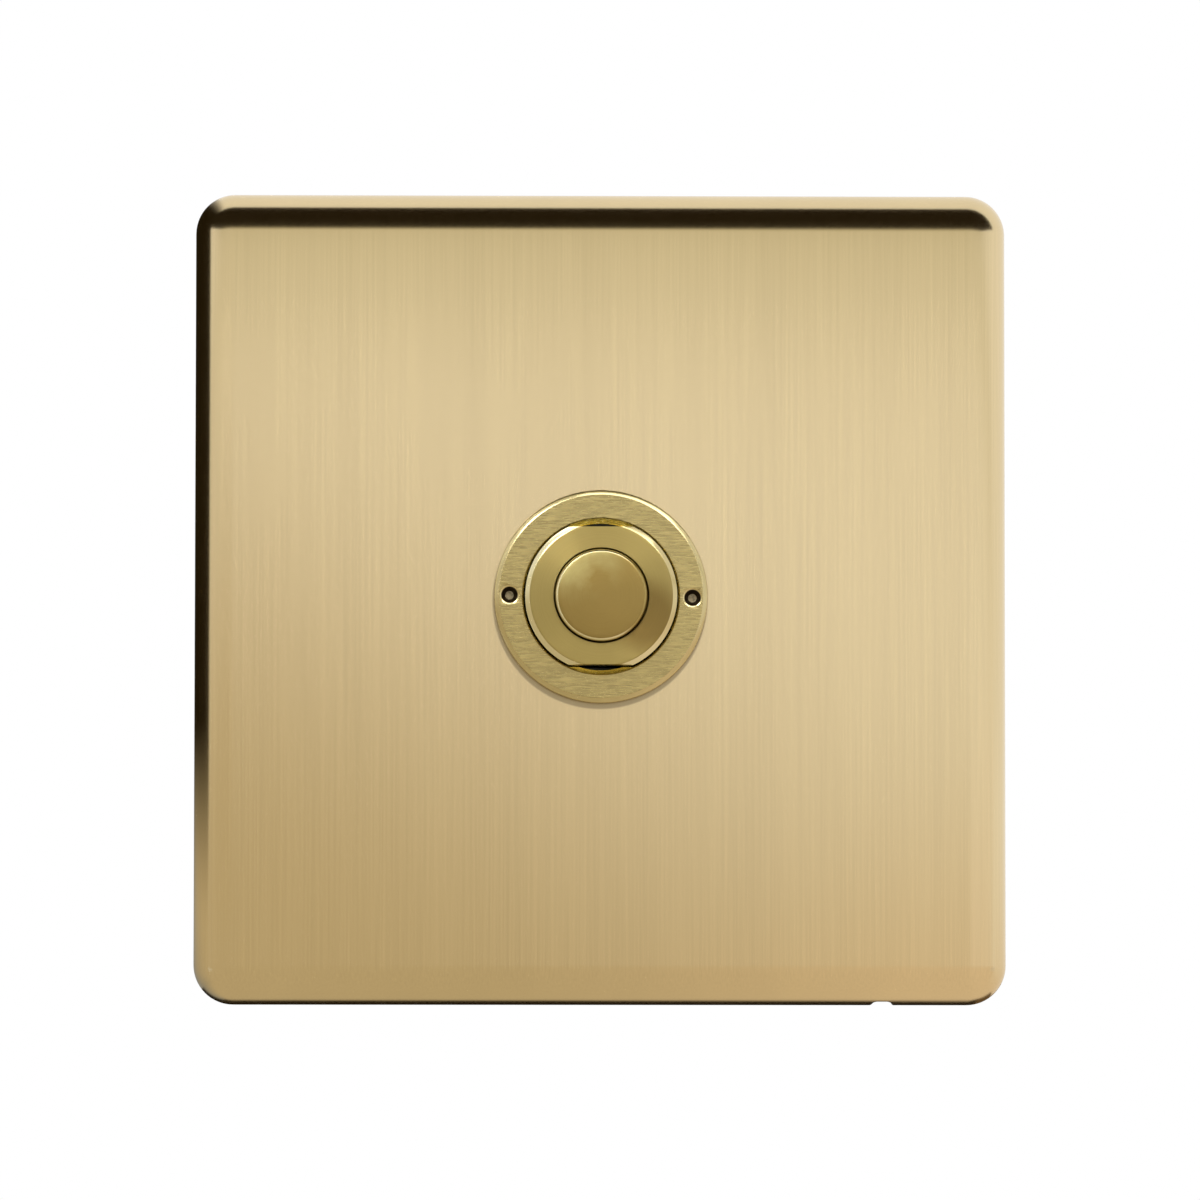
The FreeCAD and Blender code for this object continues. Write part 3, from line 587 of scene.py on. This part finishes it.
class SWITCH_OT_plate(SwitchOperator, bpy.types.Operator):
    """Models the square plate with its rolled edges, its hole, its pry notch and its clip grooves"""

    bl_idname = "switch.plate"
    bl_label = "Front plate"

    def make(self, sizes, colours):
        low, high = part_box("front_plate")
        half = high.x
        inner = half - sizes.plate_sheet
        rolled = pillow(half, high.y, low.y, sizes.plate_round, sizes.roll_segments)
        plate = to_object("front_plate_sheet", rolled)
        carve(plate, pillow(inner, high.y + PAST, low.y + sizes.plate_sheet, sizes.hollow_round, segments=8))
        carve(plate, bar(sizes.bush_radius + sizes.hole_gap, low.y - PAST, PAST))
        carve(plate, self.notch(sizes, half))
        for side in range(4):
            carve(plate, self.groove(sizes, inner, side * math.pi / 2))
        finish = brushed_plate_brass(colours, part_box("ring_nut")[1].x)
        settle(plate, [finish], BODY, "plate_brass", "front_plate")

    def notch(self, sizes, half):
        left = sizes.notch_place - sizes.notch_width / 2
        right = sizes.notch_place + sizes.notch_width / 2
        # The block ends just behind the wall, so that its taper starts at the wall.
        behind = PAST / 10
        bm = block((left, -sizes.notch_depth, -half - PAST), (right, behind, -half + 2 * sizes.plate_sheet))
        inside = [vert for vert in bm.verts if vert.co.y < TINY - sizes.notch_depth]
        bmesh.ops.scale(bm, vec=(sizes.notch_taper, 1.0, 1.0), verts=inside,
                        space=Matrix.Translation((-sizes.notch_place, 0.0, 0.0)))
        front = [edge for edge in bm.edges
                 if all(abs(vert.co.y + sizes.notch_depth) < TINY for vert in edge.verts)
                 and abs(edge.verts[0].co.x - edge.verts[1].co.x) < TINY]
        round_edges(bm, front, sizes.notch_round, segments=4)
        return bm

    def groove(self, sizes, inner, turn):
        reach = sizes.groove_length / 2
        bm = block((-reach, -sizes.groove_high, inner - PAST),
                   (reach, -sizes.groove_low, inner + sizes.groove_depth))
        bmesh.ops.rotate(bm, cent=(0, 0, 0), matrix=Matrix.Rotation(turn, 3, "Y"), verts=bm.verts)
        return bm


class SWITCH_OT_ring(SwitchOperator, bpy.types.Operator):
    """Turns the ring nut with its thread and drills its spanner holes"""

    bl_idname = "switch.ring"
    bl_label = "Ring nut"

    def make(self, sizes, colours):
        low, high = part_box("ring_nut")
        rim = high.x
        root = sizes.bush_radius + sizes.thread_gap
        crest = root - sizes.thread_depth
        recess = low.y + sizes.ring_recess
        bevel = low.y + sizes.ring_fall
        thread = ridges(high.y, recess, sizes.thread_pitch, root, crest)
        face = [(root, recess), (root, low.y + sizes.ring_mouth), (root + sizes.ring_mouth, low.y),
                (rim - sizes.ring_bevel, low.y), (rim, bevel), (rim, high.y)]
        bm = turned([(root, high.y)] + thread + face, steps=128)
        round_rim(bm, rim, bevel, size=0.1 * MM, segments=3)
        round_rim(bm, rim - sizes.ring_bevel, low.y, size=0.08 * MM, segments=2)
        ring = to_object("ring_nut_turned", bm)
        lip = sizes.spanner_hole + sizes.spanner_lip
        slope = sizes.ring_fall / sizes.ring_bevel
        profile = [(0.0, low.y - PAST * slope), (lip + PAST, low.y - PAST * slope),
                   (sizes.spanner_hole, low.y + sizes.spanner_lip * slope),
                   (sizes.spanner_floor, low.y + sizes.spanner_depth), (0.0, low.y + sizes.spanner_depth)]
        places = []
        for turn in (0.0, math.pi):
            angle = sizes.spanner_turn + turn
            x = sizes.spanner_circle * math.cos(angle)
            z = sizes.spanner_circle * math.sin(angle)
            drill = turned(profile, steps=32)
            bmesh.ops.translate(drill, vec=(x, 0, z), verts=drill.verts)
            carve(ring, drill)
            places.append((x, z))
        settle(ring, [rubbed_ring_brass(colours), fresh_thread_brass(colours), bevelled_ring_brass(colours),
                      shaded_hole_brass(colours), dusty_hole_brass(colours)], BODY, "turned_brass", "ring_nut")
        paint_where(ring, 1, lambda middle: off_axis(middle) < root)

        def in_hole(middle, reach):
            return any(math.hypot(middle.x - x, middle.z - z) < reach for x, z in places)

        # The bevels and the lips of the spanner holes get the lighter tone, partly a painted highlight.
        paint_where(ring, 2, lambda middle: low.y + TINY < middle.y < bevel
                    and (off_axis(middle) > rim - sizes.ring_bevel or in_hole(middle, lip)))
        # The walls of the spanner holes are painted dark as shade.
        paint_where(ring, 3, lambda middle: low.y + TINY < middle.y < high.y - TINY
                    and in_hole(middle, sizes.spanner_hole))
        paint_where(ring, 4, lambda middle: abs(middle.y - low.y - sizes.spanner_depth) < TINY
                    and in_hole(middle, sizes.spanner_floor))


class SWITCH_OT_bush(SwitchOperator, bpy.types.Operator):
    """Turns the threaded bush, cuts its flats and joins its square flange"""

    bl_idname = "switch.bush"
    bl_label = "Bush"

    def make(self, sizes, colours):
        low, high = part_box("bush")
        radius = sizes.bush_radius
        shoulder = high.y - sizes.flange_thick
        edge = low.y + sizes.bush_crown
        bevel = edge + sizes.bush_fall
        guide = sizes.button_radius + sizes.button_gap
        stop_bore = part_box("button")[1].x + sizes.button_gap
        stop = low.y + sizes.bush_guide
        thread = ridges(shoulder, bevel, sizes.thread_pitch, radius, radius - sizes.thread_depth)
        face = [(radius, bevel), (radius - sizes.bush_bevel, edge), (guide, low.y), (guide, stop),
                (stop_bore, stop), (stop_bore, high.y)]
        bm = turned([(radius, high.y)] + thread + face)
        round_rim(bm, radius - sizes.bush_bevel, edge, size=0.15 * MM, segments=3)
        round_rim(bm, guide, low.y, size=0.06 * MM, segments=2)
        bush = to_object("bush_turned", bm)
        flat = radius - sizes.bush_flat
        for side in (-1, 1):
            ends = sorted([side * flat, side * (radius + PAST)])
            carve(bush, block((-radius - PAST, low.y - PAST, ends[0]), (radius + PAST, shoulder, ends[1])))
        carve(bush, block((low.x, shoulder, low.z), (high.x, high.y, high.z)), "UNION")
        carve(bush, bar(stop_bore, shoulder - PAST, high.y + PAST))
        finishes = [turned_bush_brass(colours), fresh_thread_brass(colours), burnished_and_highlit_bevel_brass(colours)]
        settle(bush, finishes, BODY, "turned_brass", "bush")
        paint_where(bush, 1, lambda middle: bevel < middle.y < shoulder
                    and off_axis(middle) > stop_bore + TINY)
        paint_where(bush, 2, lambda middle: middle.y < bevel and off_axis(middle) > radius - sizes.bush_bevel)


class SWITCH_OT_button(SwitchOperator, bpy.types.Operator):
    """Turns the domed button with its stop flange and its socket"""

    bl_idname = "switch.button"
    bl_label = "Button"

    def make(self, sizes, colours):
        low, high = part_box("button")
        radius = sizes.button_radius
        shoulder = high.y - sizes.button_flange
        socket = high.y - sizes.rod_socket
        shares = (0.0, 0.25, 0.5, 0.7, 0.85, 1.0)
        dome = [(share * radius, low.y + sizes.button_crown * share * share) for share in shares]
        back = [(radius, shoulder), (high.x, shoulder), (high.x, high.y), (sizes.rod_radius, high.y),
                (sizes.rod_radius, socket), (0.0, socket)]
        bm = turned(dome + back)
        round_rim(bm, radius, low.y + sizes.button_crown, sizes.button_edge)
        button = to_object("button_turned", bm)
        finishes = [handled_and_highlit_button_brass(colours), highlit_rim_brass(colours)]
        settle(button, finishes, BUTTON_BODY, "turned_brass", "button")
        # The painted highlight leaves out the inner third of the rim's rounding, which is as dull as the
        # dome.
        bright = radius - sizes.button_edge * 2 / 3
        edge_end = low.y + sizes.button_crown + sizes.button_edge
        paint_where(button, 1, lambda middle: off_axis(middle) > bright and middle.y < edge_end)


class SWITCH_OT_spring(SwitchOperator, bpy.types.Operator):
    """Winds the return spring at one length; the real spring shortens as the button goes in"""

    bl_idname = "switch.spring"
    bl_label = "Return spring"

    def make(self, sizes, colours):
        low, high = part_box("return_spring")
        wire = sizes.spring_wire / 2
        steps_a_turn = 36
        steps = round(sizes.spring_turns * steps_a_turn)
        rise = (high.y - low.y - 2 * wire) / steps
        bm = bmesh.new()
        place = Matrix.Translation((high.x - wire, low.y + wire, 0.0))
        bmesh.ops.create_circle(bm, cap_ends=True, segments=12, radius=wire, matrix=place)
        bmesh.ops.spin(bm, geom=bm.verts[:] + bm.edges[:] + bm.faces[:], cent=(0, 0, 0), axis=(0, 1, 0),
                       dvec=(0, rise, 0), angle=math.tau * sizes.spring_turns, steps=steps)
        spring = to_object("return_spring_wire", bm)
        settle(spring, [drawn_spring_wire(colours)], BODY, "spring_steel", "return_spring")
        spring.modifiers.clear()
        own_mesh(spring)


class SWITCH_OT_screws(SwitchOperator, bpy.types.Operator):
    """Turns the slotted clamp screws and the earth screw"""

    bl_idname = "switch.screws"
    bl_label = "Screws"

    def make(self, sizes, colours):
        self.clamp_screws(sizes, colours)
        self.earth_screw(sizes, colours)

    def clamp_screws(self, sizes, colours):
        low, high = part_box("terminal_screws")
        radius = (high.z - low.z) / 2
        seat = high.y - sizes.clamp_head
        bm = bmesh.new()
        for x in (low.x + radius, high.x - radius):
            screw = self.screw("screw", sizes, radius, sizes.clamp_head, sizes.clamp_shank, seat - low.y)
            screw.data.transform(Matrix.Translation((x, seat, (high.z + low.z) / 2)))
            bm.from_mesh(screw.data)
            bpy.data.meshes.remove(screw.data)
        pair = to_object("clamp_screws", bm)
        settle(pair, [zinc_plated_steel(colours)], BODY, "zinc_steel", "terminal_screws")

    def earth_screw(self, sizes, colours):
        low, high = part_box("earth_screw")
        seat = high.z - sizes.earth_head
        screw = self.screw("earth_screw_slotted", sizes, high.x, sizes.earth_head, sizes.earth_shank,
                           seat - low.z)
        upright = Matrix.Rotation(math.pi / 2, 4, "X")
        screw.data.transform(Matrix.Translation((0, (low.y + high.y) / 2, seat)) @ upright)
        settle(screw, [machined_terminal_brass(colours)], BODY, "terminal_brass", "earth_screw")

    def screw(self, name, sizes, head, head_height, shank, length):
        """A cheese-head screw along Y, with its head's underside at y = 0 and its head towards +Y."""
        pitch = 0.6 * MM
        depth = 0.25 * MM
        plain_end = 0.3 * MM
        plain_neck = 0.2 * MM
        root = shank - depth
        thread = ridges(-length + plain_end, -plain_neck, pitch, shank, root)
        top = [(root, 0.0), (head, 0.0), (head, head_height), (0.0, head_height)]
        bm = turned([(0.0, -length), (root, -length)] + thread + top, steps=64)
        round_rim(bm, head, head_height, size=0.3 * MM)
        slot = sizes.slot_width / 2
        return carve(to_object(name, bm), block((-head - PAST, head_height - sizes.slot_depth, -slot),
                                                (head + PAST, head_height + PAST, slot)))


class SWITCH_OT_finishes(SwitchOperator, bpy.types.Operator):
    """Puts copies with softened edges and finishes in place of the solids that have the right shape"""

    bl_idname = "switch.finishes"
    bl_label = "Finished solids"

    def make(self, sizes, colours):
        press = sizes.press_edge
        self.finish(black_frame_plastic(colours), press, "frame_plastic", "mounting_frame")
        self.finish(pale_body_plastic(colours), sizes.mould_edge, "body_plastic", "switch_cover",
                    "switch_base")
        self.finish(natural_rod_plastic(colours), press, "rod_plastic", "push_rod", "guide_plate")
        self.finish(zinc_plated_steel(colours), press, "zinc_steel", "yoke", "earth_washer")
        self.finish(machined_terminal_brass(colours), press, "terminal_brass", "terminal_left",
                    "terminal_right")
        self.finish(rolled_copper(colours), press, "contact_copper", "contact_bridge", "fixed_contact_left",
                    "fixed_contact_right")
        self.finish(contact_silver(colours), press, "contact_silver", "moving_pads", "fixed_pads")

    def finish(self, material, softness, slot, *nodes):
        bodies = frame["record"]["behaviour"]["bodies"]
        for node in nodes:
            body = next(name for name, members in bodies.items() if node in members)
            settle(to_object(node + "_softened", self.softened(node, softness)), [material], body, slot, node)

    def softened(self, node, softness):
        """A merged copy of a solid with whole flat faces, whose square outer edges are rounded."""
        bm = bmesh.new()
        bm.from_mesh(frame["nodes"][node].data)
        bmesh.ops.remove_doubles(bm, verts=bm.verts, dist=MERGE)
        bmesh.ops.dissolve_limit(bm, angle_limit=FLAT_UNDER, verts=bm.verts, edges=bm.edges)
        square = [edge for edge in bm.edges if edge.is_convex and edge.calc_face_angle(0.0) > SQUARE_OVER]
        round_edges(bm, square, softness, segments=3)
        return bm


class SWITCH_OT_stage(bpy.types.Operator):
    """Sets the camera, the floor, the lamps, the cards and the white surroundings"""

    bl_idname = "switch.stage"
    bl_label = "Stage"
    bl_options = {"REGISTER", "UNDO"}

    def execute(self, context):
        stage = context.scene.switch_stage
        self.camera(context.scene, stage)
        self.floor(stage, context.scene.switch_colours)
        self.lamp("key", stage.key_power, stage.lamp_side, KEY_PLACE)
        self.lamp("fill", stage.fill_power, stage.lamp_side, FILL_PLACE)
        self.cards()
        self.surroundings(context.scene, stage)
        context.scene.view_settings.view_transform = "Standard"
        return {"FINISHED"}

    def camera(self, scene, stage):
        lens = bpy.data.cameras.new("camera")
        lens.lens = lens.sensor_width * stage.distance / stage.view_width
        camera = bpy.data.objects.new("camera", lens)
        scene.collection.objects.link(camera)
        away = Vector((math.sin(stage.azimuth) * math.cos(stage.elevation),
                       -math.cos(stage.azimuth) * math.cos(stage.elevation), math.sin(stage.elevation)))
        turn = (-away).to_track_quat("-Z", "Y") @ Quaternion((0, 0, 1), stage.roll)
        camera.location = away * stage.distance
        camera.rotation_euler = turn.to_euler()
        scene.camera = camera

    def floor(self, stage, colours):
        bm = bmesh.new()
        bmesh.ops.create_grid(bm, x_segments=1, y_segments=1, size=stage.floor_side / 2)
        bmesh.ops.translate(bm, vec=(0, 0, -stage.floor_drop), verts=bm.verts)
        floor = to_object("floor", bm)
        material, _, surface = new_finish("pale_floor", 0.0)
        surface.inputs["Base Color"].default_value = tuple(colours.floor) + (1.0,)
        surface.inputs["Roughness"].default_value = 0.8
        floor.data.materials.append(material)

    def lamp(self, name, power, size, place):
        light = bpy.data.lights.new(name, "AREA")
        light.energy = power
        light.size = size
        lamp = bpy.data.objects.new(name, light)
        bpy.context.scene.collection.objects.link(lamp)
        lamp.location = place
        lamp.rotation_euler = (-lamp.location).to_track_quat("-Z", "Y").to_euler()
        lamp.visible_glossy = False

    def cards(self):
        """Cards seen only in the metal's reflections, shaded like the room that the photo's metal shows."""
        white = (1.0, 1.0, 1.0)
        dark = linear("241D10")
        warm = linear("CEC3AA")
        honey = linear("DAD6BC")
        amber = linear("EDDECB")
        peach = linear("FFF9F0")
        grey = linear("C1CDE8")
        umber = linear("6E5E42")
        upward = ((0, 0, 1), (28, 62), (white, honey))
        lighter_right = ((1, 0, 0), (-20, 60), (warm, amber))
        self.card("top_card", (-60, -29, 43.6), (60, -5, 43.6), ((0, 1, 0), (-28.8, -19), (honey, dark)))
        self.card("left_card", (-44.5, -5.4, -43), (-44.5, 60, 44), ((0, 0, 1), (-36, -12), (warm, dark)),
                  ((0, 1, -0.25), (4, 12), (white, grey)))
        self.card("left_low_card", (-44.5, -5.4, -60), (-44.5, 60, -43),
                  ((0, 1, 0.67), (-30, -26), (warm, dark)), ((0, 1, 0.6), (-32.5, -24.5), (white, grey)))
        self.card("left_top_card", (-44.5, -5.4, 44), (-44.5, 60, 56), ((0, 0, 1), (44, 54), (dark, white)))
        self.card("front_card", (-60, -120, -40), (60, -120, 60), ((0.45, 0, 0.9), (-48, 24), (warm, white)),
                  upward, ((-0.5, 0, 1), (-60, -35), (peach, white)))
        self.card("front_low_card", (-60, -120, -200), (60, -120, -40), lighter_right)
        self.card("front_left_card", (-1000, -120, -200), (-60, -120, 57),
                  ((0, 0, 1), (-23.3, 56.7), (warm, white)), upward)
        self.card("front_right_card", (60, -120, -200), (1000, -120, 57),
                  ((0, 0, 1), (-55, -3.3), (amber, white)), upward)
        self.card("right_low_card", (60, -5.4, -120), (60, 60, -20), ((0, 0, 1), (-60, -20), (amber, white)))
        self.card("bottom_card", (-120, -120, -60), (46, 300, -60), lighter_right,
                  ((0, 1, 0), (6, 12), (white, dark)))
        self.card("bottom_right_card", (46, -120, -60), (160, 300, -60), lighter_right,
                  ((-0.6, 1, 0), (-21, -16), (white, umber)))
        self.card("left_lamp_card", (-370, -500, 260), (-170, -500, 460), strength=12.0)
        self.card("right_lamp_card", (170, -500, 260), (370, -500, 460), strength=8.0)
        self.card("ring_lamp_card", (-60, -470, 330), (300, -235, 330), strength=3.4)
        self.card("bush_lamp_card", (-320, -215, 330), (-40, -130, 330), strength=5.0)

    def card(self, name, low, high, *ramps, strength=1.0):
        """A flat card between two corners in millimetres, white or shaded by ramps.

        A ramp is a direction, two levels along it in millimetres and the tones at those levels.
        """
        bm = block(Vector(low) * MM, Vector(high) * MM)
        bmesh.ops.remove_doubles(bm, verts=bm.verts, dist=MERGE)
        card = to_object(name, bm)
        material = bpy.data.materials.new(name)
        material.use_nodes = True
        material.cycles.emission_sampling = "NONE"
        tree = material.node_tree
        tree.nodes.clear()
        place = add_node(tree, "TexCoord").outputs["Object"]
        shade = (1.0, 1.0, 1.0, 1.0)
        for along, ends, tones in ramps:
            level = add_node(tree, "VectorMath", {0: place, 1: along}, operation="DOT_PRODUCT")
            share = add_node(tree, "MapRange", {"Value": level.outputs["Value"], "From Min": ends[0] * MM,
                                                "From Max": ends[1] * MM}, interpolation_type="SMOOTHSTEP")
            tone = add_node(tree, "Mix", {"Factor": share.outputs["Result"], 6: tones[0] + (1.0,),
                                          7: tones[1] + (1.0,)}, data_type="RGBA")
            shade = add_node(tree, "Mix", {"Factor": 1.0, 6: shade, 7: tone.outputs[2]}, data_type="RGBA",
                             blend_type="MULTIPLY").outputs[2]
        glow = add_node(tree, "Emission", {"Color": shade, "Strength": strength})
        add_node(tree, "OutputMaterial", {"Surface": glow.outputs["Emission"]})
        card.data.materials.append(material)
        card.visible_camera = False
        card.visible_diffuse = False
        card.visible_shadow = False

    def surroundings(self, scene, stage):
        """White for the camera and in reflections, and an even light of the sky's strength elsewhere."""
        world = bpy.data.worlds.new("surroundings")
        world.use_nodes = True
        tree = world.node_tree
        path = add_node(tree, "LightPath").outputs
        seen = path["Is Camera Ray"]
        for ray in ("Is Glossy Ray", "Is Transmission Ray"):
            seen = add_node(tree, "Math", {0: seen, 1: path[ray]}, operation="MAXIMUM").outputs["Value"]
        strength = add_node(tree, "MapRange", {"Value": seen, "To Min": stage.sky, "To Max": 1.0})
        background = tree.nodes["Background"]
        background.inputs["Color"].default_value = (1.0, 1.0, 1.0, 1.0)
        tree.links.new(strength.outputs["Result"], background.inputs["Strength"])
        scene.world = world


class SWITCH_PT_panel(bpy.types.Panel):
    """Lists the pieces of the switch and its stage"""

    bl_idname = "SWITCH_PT_panel"
    bl_label = "Push button switch"
    bl_space_type = "VIEW_3D"
    bl_region_type = "UI"
    bl_category = "Switch"

    def draw(self, context):
        for operator in OPERATORS:
            self.layout.operator(operator.bl_idname)
        for group in (context.scene.switch_sizes, context.scene.switch_colours, context.scene.switch_stage):
            box = self.layout.box()
            for name in group.bl_rna.properties.keys()[2:]:
                box.prop(group, name)


OPERATORS = (SWITCH_OT_stage, SWITCH_OT_plate, SWITCH_OT_ring, SWITCH_OT_bush, SWITCH_OT_button,
             SWITCH_OT_spring, SWITCH_OT_screws, SWITCH_OT_finishes)
CLASSES = (SwitchSizes, SwitchColours, SwitchStage) + OPERATORS + (SWITCH_PT_panel,)


def register():
    for kind in CLASSES:
        bpy.utils.register_class(kind)
    bpy.types.Scene.switch_sizes = PointerProperty(type=SwitchSizes)
    bpy.types.Scene.switch_colours = PointerProperty(type=SwitchColours)
    bpy.types.Scene.switch_stage = PointerProperty(type=SwitchStage)


def unregister():
    del bpy.types.Scene.switch_stage
    del bpy.types.Scene.switch_colours
    del bpy.types.Scene.switch_sizes
    for kind in reversed(CLASSES):
        bpy.utils.unregister_class(kind)


def main():
    register()
    for operator in OPERATORS:
        group, name = operator.bl_idname.split(".")
        getattr(getattr(bpy.ops, group), name)()


if __name__ == "__main__":
    main()
